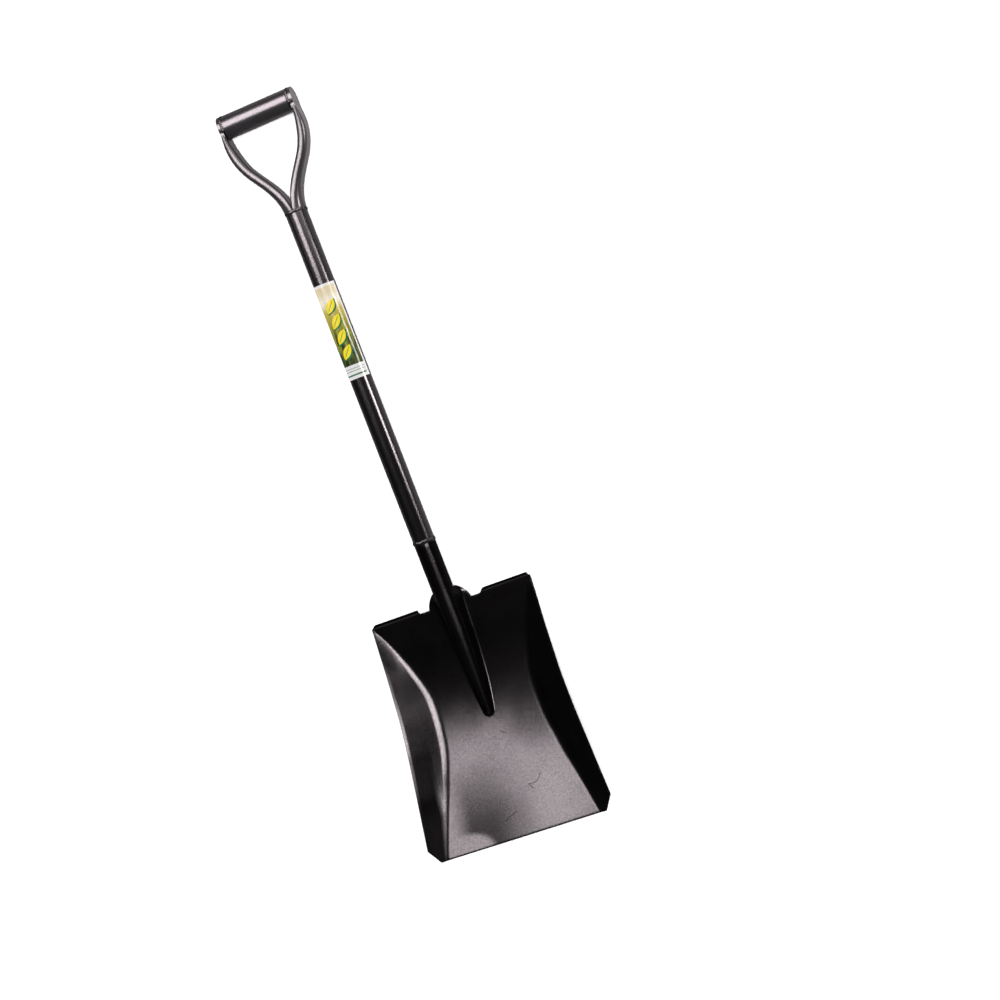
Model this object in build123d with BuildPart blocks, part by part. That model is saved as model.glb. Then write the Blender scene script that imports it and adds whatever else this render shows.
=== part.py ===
from build123d import *
import math
import os

# All-steel square-mouth shovel, lying on its back with the face of the blade up.
# Millimetres. +Z is up, the shaft runs along Y with the grip at +Y and the mouth at -Y, and X runs
# across. The origin is on the ground, under the middle of the overall length.

# Overall
OVERALL_LENGTH = 964.0
WELD_PROUD = 0.6            # height of a weld bead above the tube beside it
WELD_GAP = 1.4              # root gap that a bead fills
WELD_REACH = 2.3            # half width of a bead's crown
WELD_SINK = 0.4             # depth of the crown's middle below the tube's surface
CLEARANCE = 0.05            # gap between fitted pieces

# Cross grip
GRIP_DIA = 30.0
GRIP_WALL = 1.5
GRIP_HALF_LENGTH = 45.0
LUG_THICKNESS = 4.6
LUG_WAIST = 27.0
LUG_NECK = 12.0             # length of the flat between the lug's disc and the arm
AXIS_Z = GRIP_DIA / 2 + WELD_PROUD
GRIP_Y = OVERALL_LENGTH / 2 - GRIP_DIA / 2 - WELD_PROUD

# Shaft tube
SHAFT_DIA = 28.0
SHAFT_WALL = 1.5
SHAFT_TOP_Y = 338.0
SOCKET_TOP_Y = -101.0
SPIGOT_LENGTH = 45.0
SWAGE_START = 4.0           # stretch over which the tube's bore narrows to the spigot's
SWAGE_END = 10.0

# Printed wrap label on the shaft
LABEL_TOP_Y = 243.0
LABEL_BOTTOM_Y = 119.5
LABEL_THICKNESS = 0.15
LABEL_GAP_ANGLE = 24.0      # bare strip of tube left between the label's two long edges

# Pressed blade with its rolled socket
SHEET = 2.0
SOCKET_END_Y = -166.0       # where the rolled socket has opened out into the blade's ears
SEAM_END_Y = -150.0         # where its back seam starts to open
SEAM_WIDTH = 2.0
SEAM_WELD_INSET = 3.0       # bare seam left at each end of the seam weld
SEAM_WELD_HALF_WIDTH = 2.6
SEAM_WELD_HALF_HEIGHT = 0.8
SEAM_WELD_SINK = 0.2
TREAD_Y = -187.0            # top edge of the pan, where the tread lips fold down
MOUTH_Y = -OVERALL_LENGTH / 2
HEEL_Z = AXIS_Z - 7.5       # face of the flat heel
HEEL_LENGTH = 49.0
LIFT_RADIUS = 380.0
LIFT_ANGLE = 25.0
RIM_LIFT = 82.4             # rise of the rim from the tread corner to the mouth corner
MIN_RISE = 0.8              # least rise of the wall, at the tread
CLIP_RIM_X = 123.7          # front corners, cut off diagonally from the rim to the mouth
CLIP_MOUTH_X = 110.7
CLIP_LENGTH = 20.0
LIP_RADIUS = 5.0
LIP_ROOT = 0.5              # how far the lip's root reaches into the pan
LIP_INNER_X = 45.5
LIP_OUTER_X = 109.5
LIP_CHAMFER = 4.0           # cut at the outer end of a lip's edge
NOTCH_X = 29.0
EAR_X = 24.5
EAR_Y = -177.0
RIDGE_LIFT_ANGLE = 17.0     # how far along the lift's arc the ridge is trimmed to the sheet

# Distance from the tread, half width across the rims, width of the sloping wall, fold radius
PAN_STATIONS = [
    (0.0, 109.8, 3.0, 5.0),
    (25.0, 109.2, 15.0, 14.0),
    (65.0, 108.4, 28.5, 20.0),
    (115.0, 108.7, 40.5, 24.0),
    (160.0, 111.2, 41.5, 24.0),
    (205.0, 115.2, 37.0, 22.0),
    (250.0, 119.6, 29.0, 18.0),
    (295.0, 124.2, 22.0, 14.0),
]

# Centre ridge (frog): y, half width, crest height above the heel
RIDGE_STATIONS = [
    (-160.0, 14.0, 21.5),
    (-200.0, 14.0, 21.5),
    (-250.0, 11.5, 21.0),
    (-330.0, 7.0, 19.0),
]

# Right yoke arm, from the shaft to the grip: x, y, heading from +Y in degrees, width, depth,
# outer and inner corner radius of the section
ARM_STATIONS = [
    (7.0, SHAFT_TOP_Y + WELD_GAP, 0.0, 13.8, 27.8, 12.4, 0.8),
    (8.2, 349.0, 9.0, 13.4, 27.0, 10.5, 1.6),
    (12.6, 364.0, 26.0, 12.6, 25.5, 7.5, 3.0),
    (20.5, 379.0, 33.0, 12.2, 24.5, 6.2, 4.4),
    (30.0, 393.0, 36.0, 12.2, 24.0, 5.8, 4.8),
    (38.3, 406.0, 29.0, 12.2, 24.0, 5.6, 5.0),
    (44.6, 421.0, 16.0, 12.2, 24.5, 5.6, 5.0),
    (47.9, 436.0, 7.0, 10.6, 25.5, 5.0, 4.6),
    (48.9, 447.0, 2.0, 7.4, 27.0, 3.4, 3.2),
    (48.7, 457.0, 0.0, 4.6, 28.5, 2.1, 2.0),
]
ARM_WALL = 1.6
TANG_LENGTH = 35.0
MIN_CORNER = 0.4            # least corner radius and least flat of an arm's hollow
MIN_FLAT = 0.2

CUT_DEPTH = 150.0           # reach of a cutting tool that goes right through the blade
SAME_PLACE = 0.0001

shaft_radius = SHAFT_DIA / 2
bore_radius = shaft_radius - SHAFT_WALL
socket_bore_radius = shaft_radius - SHEET
grip_radius = GRIP_DIA / 2
shaft_axis = Axis((0, 0, AXIS_Z), (0, 1, 0))
lift_start_y = TREAD_Y - HEEL_LENGTH
lift_end_y = lift_start_y - LIFT_RADIUS * math.sin(math.radians(LIFT_ANGLE))
lift_end_z = HEEL_Z + LIFT_RADIUS * (1 - math.cos(math.radians(LIFT_ANGLE)))
mouth_z = lift_end_z + (lift_end_y - MOUTH_Y) * math.tan(math.radians(LIFT_ANGLE))

os.makedirs("parts", exist_ok=True)


def across(y):
    """Plane square to the shaft at y, with X across and Z up."""
    return Plane.XZ.offset(-y)


def floor_z(y):
    """Height of the pan's face on the centre line: flat heel, arc, then straight to the mouth."""
    if y > lift_start_y:
        return HEEL_Z
    if y > lift_end_y:
        run = lift_start_y - y
        return HEEL_Z + LIFT_RADIUS - math.sqrt(LIFT_RADIUS**2 - run**2)
    return lift_end_z + (lift_end_y - y) * math.tan(math.radians(LIFT_ANGLE))


def rim_z(y):
    """Height of the straight rim line over the walls."""
    return HEEL_Z + RIM_LIFT * (TREAD_Y - y) / (TREAD_Y - MOUTH_Y)


def pan_section(distance, rim_half, wall_run, fold_radius):
    """Closed section of the pressed sheet: level floor, folded and sloping walls."""
    y = TREAD_Y - distance
    floor = floor_z(y)
    rise = max(rim_z(y) - floor, MIN_RISE)
    slope = math.atan2(rise, wall_run)
    knee = rim_half - wall_run
    under_knee = knee + SHEET * math.tan(slope / 2)
    under_rim = rim_half + SHEET * math.sin(slope)
    under_rim_z = floor + rise - SHEET * math.cos(slope)
    with BuildSketch(across(y)) as section:
        with BuildLine():
            Polyline(
                (-rim_half, floor + rise),
                (-knee, floor),
                (knee, floor),
                (rim_half, floor + rise),
                (under_rim, under_rim_z),
                (under_knee, floor - SHEET),
                (-under_knee, floor - SHEET),
                (-under_rim, under_rim_z),
                close=True,
            )
        make_face()
        for corner_x, radius in ((knee, fold_radius), (under_knee, fold_radius + SHEET)):
            corners = [v for v in section.vertices() if abs(abs(v.X) - corner_x) < SAME_PLACE]
            fillet(corners, radius)
    return section.sketch


def arch_section(y, half_width, crest, foot_z):
    """Round-topped section of the centre ridge, with upright flanks."""
    spring = crest - half_width
    with BuildSketch(across(y)) as section:
        with BuildLine():
            Line((-half_width, foot_z), (half_width, foot_z))
            Line((half_width, foot_z), (half_width, spring))
            ThreePointArc((half_width, spring), (0, crest), (-half_width, spring))
            Line((-half_width, spring), (-half_width, foot_z))
        make_face()
    return section.sketch


def ridge_solid(shrink):
    """The ridge's outer form (shrink 0) or its hollow (shrink one sheet)."""
    foot = -SHAFT_DIA
    last_y, last_half, last_crest = RIDGE_STATIONS[-1]
    nose_radius = last_half - shrink
    nose_z = HEEL_Z + last_crest - last_half
    with BuildPart() as ridge:
        loft(
            sections=[
                arch_section(y, half - shrink, HEEL_Z + crest - shrink, foot)
                for y, half, crest in RIDGE_STATIONS
            ]
        )
        with Locations((0, last_y, nose_z)):
            Sphere(nose_radius)
        with BuildSketch(Plane.XY.offset(foot)):
            with Locations((0, last_y)):
                Circle(nose_radius)
        extrude(amount=nose_z - foot)
    return ridge.part


def arm_section(x, y, heading, width, depth, outer, inner, shrink):
    """Rounded section of a yoke arm, square to the arm's centre line."""
    angle = math.radians(heading)
    plane = Plane(
        origin=(x, y, AXIS_Z),
        x_dir=(math.cos(angle), -math.sin(angle), 0),
        z_dir=(math.sin(angle), math.cos(angle), 0),
    )
    thickness = width - 2 * shrink
    inner_corner = max(inner - shrink, MIN_CORNER)
    outer_corner = min(outer - shrink, thickness - inner_corner - MIN_FLAT)
    with BuildSketch(plane) as section:
        Rectangle(thickness, depth - 2 * shrink)
        fillet(section.vertices().group_by(Axis.X)[-1], outer_corner)
        fillet(section.vertices().group_by(Axis.X)[0], inner_corner)
    return section.sketch


def bead_profile(root_radius, tube_radius):
    """Weld bead drawn at the origin: Y away from the tube's axis, crown just above the tube."""
    with BuildSketch() as profile:
        with Locations((0, (root_radius + tube_radius) / 2)):
            Rectangle(WELD_GAP, tube_radius - root_radius)
        with Locations((0, tube_radius - WELD_SINK)):
            Ellipse(WELD_REACH, WELD_PROUD + WELD_SINK)
    return profile.sketch


# Blade: pan, tread lips, ears, centre ridge and rolled socket, all one pressed sheet
ridge_outer = ridge_solid(0.0)
ridge_void = ridge_solid(SHEET)

# Everything above the middle of the sheet's thickness, along the length of the ridge
mid_sheet_z = HEEL_Z - SHEET / 2
mid_lift_radius = LIFT_RADIUS + SHEET / 2
ridge_lift = math.radians(RIDGE_LIFT_ANGLE)
ridge_end_y = lift_start_y - mid_lift_radius * math.sin(ridge_lift)
ridge_end_z = mid_sheet_z + mid_lift_radius * (1 - math.cos(ridge_lift))
with BuildPart() as above_floor:
    with BuildSketch(Plane.YZ):
        with BuildLine():
            Line((SOCKET_END_Y, mid_sheet_z), (lift_start_y, mid_sheet_z))
            RadiusArc((lift_start_y, mid_sheet_z), (ridge_end_y, ridge_end_z), mid_lift_radius)
            Line((ridge_end_y, ridge_end_z), (ridge_end_y, RIM_LIFT))
            Line((ridge_end_y, RIM_LIFT), (SOCKET_END_Y, RIM_LIFT))
            Line((SOCKET_END_Y, RIM_LIFT), (SOCKET_END_Y, mid_sheet_z))
        make_face()
    extrude(amount=SHAFT_DIA, both=True)

with BuildPart() as ridge:
    add(ridge_outer)
    add(above_floor.part, mode=Mode.INTERSECT)

with BuildPart() as blade:
    loft(sections=[pan_section(*station) for station in PAN_STATIONS])
    # Diagonal front corners
    with BuildSketch(Plane.XY):
        with BuildLine():
            Polyline(
                (CLIP_MOUTH_X, MOUTH_Y - SHEET),
                (CLIP_MOUTH_X, MOUTH_Y),
                (CLIP_RIM_X, MOUTH_Y + CLIP_LENGTH),
                (CLIP_RIM_X + CLIP_LENGTH, MOUTH_Y + CLIP_LENGTH),
                (CLIP_RIM_X + CLIP_LENGTH, MOUTH_Y - SHEET),
                close=True,
            )
        make_face()
        mirror(about=Plane.YZ)
    extrude(amount=CUT_DEPTH, mode=Mode.SUBTRACT)
    add(ridge.part)
    # Ears: the sheet narrows from the pan to the socket
    with BuildSketch(Plane.XY.offset(HEEL_Z - SHEET)):
        with BuildLine():
            Polyline(
                (-NOTCH_X, TREAD_Y - SHEET),
                (NOTCH_X, TREAD_Y - SHEET),
                (NOTCH_X, TREAD_Y),
                (EAR_X, EAR_Y),
                (socket_bore_radius, SOCKET_END_Y),
                (-socket_bore_radius, SOCKET_END_Y),
                (-EAR_X, EAR_Y),
                (-NOTCH_X, TREAD_Y),
                close=True,
            )
        make_face()
    extrude(amount=SHEET)
    # Tread lips, folded down over the top edge, with a cut outer corner
    lip_back_y = TREAD_Y + LIP_RADIUS
    with BuildSketch(Plane.YZ.offset(LIP_INNER_X)):
        with BuildLine():
            Line((TREAD_Y - LIP_ROOT, HEEL_Z), (TREAD_Y, HEEL_Z))
            RadiusArc((TREAD_Y, HEEL_Z), (lip_back_y, HEEL_Z - LIP_RADIUS), LIP_RADIUS)
            Line((lip_back_y, HEEL_Z - LIP_RADIUS), (lip_back_y, 0))
            Line((lip_back_y, 0), (lip_back_y - SHEET, 0))
            Line((lip_back_y - SHEET, 0), (lip_back_y - SHEET, HEEL_Z - LIP_RADIUS))
            RadiusArc(
                (lip_back_y - SHEET, HEEL_Z - LIP_RADIUS),
                (TREAD_Y, HEEL_Z - SHEET),
                -(LIP_RADIUS - SHEET),
            )
            Line((TREAD_Y, HEEL_Z - SHEET), (TREAD_Y - LIP_ROOT, HEEL_Z - SHEET))
            Line((TREAD_Y - LIP_ROOT, HEEL_Z - SHEET), (TREAD_Y - LIP_ROOT, HEEL_Z))
        make_face()
    right_lip = extrude(amount=LIP_OUTER_X - LIP_INNER_X)
    mirror(right_lip, about=Plane.YZ)
    with BuildSketch(Plane.XY):
        with BuildLine():
            Polyline(
                (LIP_OUTER_X - LIP_CHAMFER, lip_back_y),
                (LIP_OUTER_X, lip_back_y - LIP_CHAMFER),
                (LIP_OUTER_X, lip_back_y),
                close=True,
            )
        make_face()
        mirror(about=Plane.YZ)
    extrude(amount=HEEL_Z, mode=Mode.SUBTRACT)
    # Rolled socket
    with BuildSketch(across(SOCKET_TOP_Y)):
        with Locations((0, AXIS_Z)):
            Circle(shaft_radius)
    extrude(amount=SOCKET_TOP_Y - SOCKET_END_Y)
    # Hollow of the socket and of the ridge, open at the back of the blade
    with BuildSketch(across(SOCKET_TOP_Y)):
        with Locations((0, AXIS_Z)):
            Circle(socket_bore_radius)
    extrude(amount=SOCKET_TOP_Y - SOCKET_END_Y, mode=Mode.SUBTRACT)
    add(ridge_void, mode=Mode.SUBTRACT)
    # Seam where the two edges of the rolled sheet meet, opening out towards the ears
    with BuildSketch(Plane.XY):
        with BuildLine():
            Polyline(
                (-SEAM_WIDTH / 2, SOCKET_TOP_Y),
                (SEAM_WIDTH / 2, SOCKET_TOP_Y),
                (SEAM_WIDTH / 2, SEAM_END_Y),
                (socket_bore_radius, SOCKET_END_Y),
                (-socket_bore_radius, SOCKET_END_Y),
                (-SEAM_WIDTH / 2, SEAM_END_Y),
                close=True,
            )
        make_face()
    extrude(amount=AXIS_Z, mode=Mode.SUBTRACT)

blade.part.label = "blade"
export_step(blade.part, "parts/blade.step")

# Seam weld along the back of the socket
with BuildPart() as socket_seam_weld:
    with BuildSketch(across(SOCKET_TOP_Y - SEAM_WELD_INSET)):
        with Locations((0, AXIS_Z - shaft_radius + SHEET / 2)):
            Rectangle(SEAM_WIDTH - 2 * CLEARANCE, SHEET)
        with Locations((0, AXIS_Z - shaft_radius + SEAM_WELD_SINK)):
            Ellipse(SEAM_WELD_HALF_WIDTH, SEAM_WELD_HALF_HEIGHT)
    extrude(amount=SOCKET_TOP_Y - SEAM_END_Y - 2 * SEAM_WELD_INSET)
    add(blade.part, mode=Mode.SUBTRACT)
socket_seam_weld.part.label = "socket_seam_weld"
export_step(socket_seam_weld.part, "parts/socket_seam_weld.step")

# Shaft tube, with a swaged spigot that sits inside the socket
spigot_radius = socket_bore_radius - CLEARANCE
with BuildPart() as shaft_tube:
    with BuildSketch(Plane.YZ):
        with BuildLine():
            Polyline(
                (SHAFT_TOP_Y, AXIS_Z + bore_radius),
                (SHAFT_TOP_Y, AXIS_Z + shaft_radius),
                (SOCKET_TOP_Y + WELD_GAP, AXIS_Z + shaft_radius),
                (SOCKET_TOP_Y + WELD_GAP, AXIS_Z + spigot_radius),
                (SOCKET_TOP_Y - SPIGOT_LENGTH, AXIS_Z + spigot_radius),
                (SOCKET_TOP_Y - SPIGOT_LENGTH, AXIS_Z + spigot_radius - SHAFT_WALL),
                (SOCKET_TOP_Y + SWAGE_START, AXIS_Z + spigot_radius - SHAFT_WALL),
                (SOCKET_TOP_Y + SWAGE_END, AXIS_Z + bore_radius),
                close=True,
            )
        make_face()
    revolve(axis=shaft_axis)
shaft_tube.part.label = "shaft_tube"
export_step(shaft_tube.part, "parts/shaft_tube.step")

# Printed wrap label, a thin film with its gap at the back
label_radius = shaft_radius + CLEARANCE / 2
with BuildPart() as shaft_label:
    with BuildSketch(across(LABEL_TOP_Y)):
        with Locations((0, AXIS_Z)):
            Circle(label_radius + LABEL_THICKNESS)
            Circle(label_radius, mode=Mode.SUBTRACT)
        gap_reach = SHAFT_DIA * math.tan(math.radians(LABEL_GAP_ANGLE / 2))
        with BuildLine():
            Polyline(
                (0, AXIS_Z),
                (gap_reach, AXIS_Z - SHAFT_DIA),
                (-gap_reach, AXIS_Z - SHAFT_DIA),
                close=True,
            )
        make_face(mode=Mode.SUBTRACT)
    extrude(amount=LABEL_TOP_Y - LABEL_BOTTOM_Y)
shaft_label.part.label = "shaft_label"
export_step(shaft_label.part, "parts/shaft_label.step")

# Yoke arms: squashed tubes with a half-round tang in the shaft and a flat lug at the grip
tang_radius = bore_radius - CLEARANCE
lug_x = GRIP_HALF_LENGTH + WELD_GAP
with BuildPart() as arm_right:
    loft(sections=[arm_section(*station, 0.0) for station in ARM_STATIONS])
    with BuildSketch(Plane.YZ.offset(lug_x)):
        with Locations((GRIP_Y, AXIS_Z)):
            Circle(grip_radius)
        with Locations((GRIP_Y - LUG_NECK / 2, AXIS_Z)):
            Rectangle(LUG_NECK, LUG_WAIST)
    extrude(amount=LUG_THICKNESS)
    with BuildSketch(across(SHAFT_TOP_Y + WELD_GAP)):
        with Locations((0, AXIS_Z)):
            Circle(tang_radius)
            Rectangle(
                SHAFT_DIA + 2 * CLEARANCE,
                SHAFT_DIA,
                align=(Align.MAX, Align.CENTER),
                mode=Mode.SUBTRACT,
            )
    extrude(amount=TANG_LENGTH)
    # Hollow, open at the tang's end and closed where the tube is pressed flat
    with BuildSketch(across(SHAFT_TOP_Y + WELD_GAP)):
        with Locations((0, AXIS_Z)):
            Circle(tang_radius - ARM_WALL)
            Rectangle(
                SHAFT_DIA + 2 * ARM_WALL,
                SHAFT_DIA,
                align=(Align.MAX, Align.CENTER),
                mode=Mode.SUBTRACT,
            )
    extrude(amount=TANG_LENGTH, mode=Mode.SUBTRACT)
    loft(
        sections=[arm_section(*station, ARM_WALL) for station in ARM_STATIONS[:-1]],
        mode=Mode.SUBTRACT,
    )
arm_right.part.label = "arm_right"
export_step(arm_right.part, "parts/arm_right.step")

with BuildPart() as arm_left:
    mirror(arm_right.part, about=Plane.YZ)
arm_left.part.label = "arm_left"
export_step(arm_left.part, "parts/arm_left.step")

# Cross grip tube
with BuildPart() as grip_tube:
    with BuildSketch(Plane.YZ):
        with Locations((GRIP_Y, AXIS_Z)):
            Circle(grip_radius)
            Circle(grip_radius - GRIP_WALL, mode=Mode.SUBTRACT)
    extrude(amount=GRIP_HALF_LENGTH, both=True)
grip_tube.part.label = "grip_tube"
export_step(grip_tube.part, "parts/grip_tube.step")

# Ring welds round the shaft
for name, y, root_radius, neighbours in (
    ("socket_weld", SOCKET_TOP_Y + WELD_GAP / 2, spigot_radius, [blade, shaft_tube]),
    ("yoke_weld", SHAFT_TOP_Y + WELD_GAP / 2, tang_radius, [shaft_tube, arm_left, arm_right]),
):
    with BuildPart() as weld:
        with BuildSketch(Plane(origin=(0, y, AXIS_Z), x_dir=(0, 1, 0), z_dir=(1, 0, 0))):
            add(bead_profile(root_radius, shaft_radius))
        revolve(axis=shaft_axis)
        for neighbour in neighbours:
            add(neighbour.part, mode=Mode.SUBTRACT)
    weld.part.label = name
    export_step(weld.part, f"parts/{name}.step")

# Ring welds at the two ends of the grip tube
grip_axis = Axis((0, GRIP_Y, AXIS_Z), (1, 0, 0))
for name, side, arm in (("grip_weld_left", -1, arm_left), ("grip_weld_right", 1, arm_right)):
    x = side * (GRIP_HALF_LENGTH + WELD_GAP / 2)
    with BuildPart() as weld:
        with BuildSketch(Plane(origin=(x, GRIP_Y, AXIS_Z), x_dir=(1, 0, 0), z_dir=(0, -1, 0))):
            add(bead_profile(grip_radius - GRIP_WALL, grip_radius))
        revolve(axis=grip_axis)
        add(grip_tube.part, mode=Mode.SUBTRACT)
        add(arm.part, mode=Mode.SUBTRACT)
    weld.part.label = name
    export_step(weld.part, f"parts/{name}.step")
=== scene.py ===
import math

import bmesh
import bpy
from mathutils import Matrix, Vector, noise


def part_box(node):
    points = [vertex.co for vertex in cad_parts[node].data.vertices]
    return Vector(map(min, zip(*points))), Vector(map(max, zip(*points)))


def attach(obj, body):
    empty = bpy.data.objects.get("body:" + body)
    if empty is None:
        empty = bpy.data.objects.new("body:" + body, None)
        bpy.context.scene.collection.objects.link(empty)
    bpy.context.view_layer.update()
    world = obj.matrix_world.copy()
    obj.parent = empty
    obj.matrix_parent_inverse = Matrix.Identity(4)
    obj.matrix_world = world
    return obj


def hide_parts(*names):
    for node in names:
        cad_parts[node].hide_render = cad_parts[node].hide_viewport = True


# The looks of an all-steel square-mouth shovel lying on its back.
# The row frame is in metres; shape code works in millimetres and is scaled once by MM.
# +Z is up (the blade's face), the shaft runs along Y with the grip at +Y, X runs across.

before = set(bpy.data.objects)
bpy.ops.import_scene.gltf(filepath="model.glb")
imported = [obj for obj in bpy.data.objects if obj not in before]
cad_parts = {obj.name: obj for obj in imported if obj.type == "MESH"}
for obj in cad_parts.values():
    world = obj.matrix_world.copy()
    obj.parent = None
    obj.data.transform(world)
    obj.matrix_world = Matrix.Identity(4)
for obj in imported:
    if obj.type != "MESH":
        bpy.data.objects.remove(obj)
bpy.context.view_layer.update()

MM = 0.001


def box_mm(node):
    """Lowest and highest corner of a CAD node, in millimetres."""
    low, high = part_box(node)
    return low / MM, high / MM


# Places read from the frame
blade_low, blade_high = box_mm("blade")
shaft_low, shaft_high = box_mm("shaft_tube")
AXIS_Z = (shaft_low.z + shaft_high.z) / 2
TUBE_R = (shaft_high.x - shaft_low.x) / 2
MOUTH_Y = blade_low.y
FACE_END_Y = MOUTH_Y + 0.85         # the mouth's edge is square to its sloping face
SOCKET_Y = blade_high.y
grip_low, grip_high = box_mm("grip_tube")
GRIP_R = (grip_high.z - grip_low.z) / 2
label_low, label_high = box_mm("shaft_label")

# Pressed sheet of the blade
SHEET = 2.0
TREAD_Y = MOUTH_Y + 295.0
HEEL_Z = AXIS_Z - 7.5
HEEL_LENGTH = 49.0
LIFT_RADIUS = 380.0
LIFT_ANGLE = math.radians(25.0)
RIM_LIFT = 82.4
SEAM_END_Y = SOCKET_Y - 49.0        # the socket's back seam is closed down to here
SOCKET_END_Y = SOCKET_Y - 65.0      # and has opened to the tube's full width here
SEAM_GAP = 2.0
NOSE_Y = MOUTH_Y + 152.0            # centre of the ridge's rounded nose
CLIP_RIM_X = 122.7                  # front corners, cut diagonally from rim to mouth
CLIP_MOUTH_X = 109.7
CLIP_LENGTH = 20.0
LIP_RADIUS = 5.0
LIP_DROP = HEEL_Z - LIP_RADIUS - 0.3
LIP_START_X = 41.0
LIP_FULL_X = 45.5
LIP_CHAMFER_X = 105.5
LIP_END_X = 109.5
FULL_BEND = 1.5                     # turn from which a lip goes on straight down
EAR_ROOT_X = 29.0
MIN_WALL_RISE = 0.8
NOSE_FOOT = 3.4                     # width of the smoothed foot round the nose
NOSE_BLEND = 26.0                   # length over which the section passes into the rounded nose
EDGE_ROUNDING = 0.4

# Rows of the sheet: their usual distance, and the finer one just round the nose
ROW_STEP = 3.0
NOSE_STEP = 0.6
NOSE_ABOVE = 4.0
NOSE_BELOW = 14.0
EAR_STEP = 1.0
SOCKET_STEP = 8.0

# Weld beads
WELD_SINK = 0.35                    # edge of a bead below the tube's surface
WELD_ROOT = 1.2                     # depth of its root
ROOT_STEPS = 3                      # faces that close a bead's section behind its crown

# Distance from the tread, half width across the rims, width of the wall, fold radius
PAN = [
    (0.0, 109.8, 3.0, 5.0),
    (25.0, 109.2, 15.0, 14.0),
    (65.0, 108.4, 28.5, 20.0),
    (115.0, 108.7, 40.5, 24.0),
    (160.0, 111.2, 41.5, 24.0),
    (205.0, 115.2, 37.0, 22.0),
    (250.0, 119.6, 29.0, 18.0),
    (295.0, 124.2, 22.0, 14.0),
]

# Centre ridge: distance from the socket's open end, crest above the heel, crest radius,
# flank angle in degrees, foot radius
RIDGE = [
    (0.0, 21.5, 14.0, 90.0, 3.0),
    (5.0, 21.5, 14.0, 72.0, 4.0),
    (11.0, 21.5, 14.0, 61.0, 5.0),
    (21.0, 21.5, 14.0, 70.0, 5.5),
    (39.0, 21.5, 14.0, 78.0, 5.0),
    (54.0, 21.5, 13.8, 80.0, 4.6),
    (75.0, 21.4, 12.6, 80.0, 4.3),
    (97.0, 20.9, 11.0, 78.0, 4.0),
    (134.0, 20.0, 8.2, 72.0, 3.6),
    (164.0, 19.0, 5.6, 64.0, 3.0),
]

# Outline of the ears: distance from the socket's open end, x of the free edge
EARS = [(0.0, 14.0), (5.0, 20.5), (11.0, 25.0), (16.0, 27.6), (21.0, EAR_ROOT_X)]


# ---------------------------------------------------------------- curves and tables

def read_table(table, at, column):
    """Value of a table's column, by monotone cubic interpolation along its first column."""
    xs = [row[0] for row in table]
    ys = [row[column] for row in table]
    if at <= xs[0]:
        return ys[0]
    if at >= xs[-1]:
        return ys[-1]
    k = max(i for i in range(len(xs) - 1) if xs[i] <= at)
    steps = [(ys[i + 1] - ys[i]) / (xs[i + 1] - xs[i]) for i in range(len(xs) - 1)]

    def tangent(i):
        if i == 0:
            return steps[0]
        if i == len(xs) - 1:
            return steps[-1]
        if steps[i - 1] * steps[i] <= 0:
            return 0.0
        return 2 * steps[i - 1] * steps[i] / (steps[i - 1] + steps[i])

    h = xs[k + 1] - xs[k]
    t = (at - xs[k]) / h
    a, b = tangent(k) * h, tangent(k + 1) * h
    rise = ys[k + 1] - ys[k]
    return ys[k] + t * a + t * t * (3 * rise - 2 * a - b) + t**3 * (a + b - 2 * rise)


def smooth_step(low, high, value):
    """0 to 1 from low to high, level at both ends."""
    t = min(max((value - low) / (high - low), 0.0), 1.0)
    return t * t * (3 - 2 * t)


def floor_z(y):
    """The pan's face on the centre line: flat heel, arc, then straight to the mouth."""
    run = TREAD_Y - HEEL_LENGTH - y
    arc_run = LIFT_RADIUS * math.sin(LIFT_ANGLE)
    if run <= 0:
        return HEEL_Z
    if run <= arc_run:
        return HEEL_Z + LIFT_RADIUS - math.sqrt(LIFT_RADIUS**2 - run**2)
    return HEEL_Z + LIFT_RADIUS * (1 - math.cos(LIFT_ANGLE)) + (run - arc_run) * math.tan(LIFT_ANGLE)


def rim_z(y):
    """The straight rim, from tread corner to mouth corner."""
    return HEEL_Z + RIM_LIFT * (TREAD_Y - y) / (TREAD_Y - MOUTH_Y)


def smooth_max(a, b, width):
    """The greater of two heights, rounded where they cross."""
    overlap = max(width - abs(a - b), 0.0) / width
    return max(a, b) + overlap * overlap * width / 4


def last_place(low, high, steps, holds):
    """Bisects a range for the last place where a test that holds at its start still holds."""
    for _ in range(steps):
        middle = (low + high) / 2
        if holds(middle):
            low = middle
        else:
            high = middle
    return low


# ---------------------------------------------------------------- the blade's sections

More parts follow.
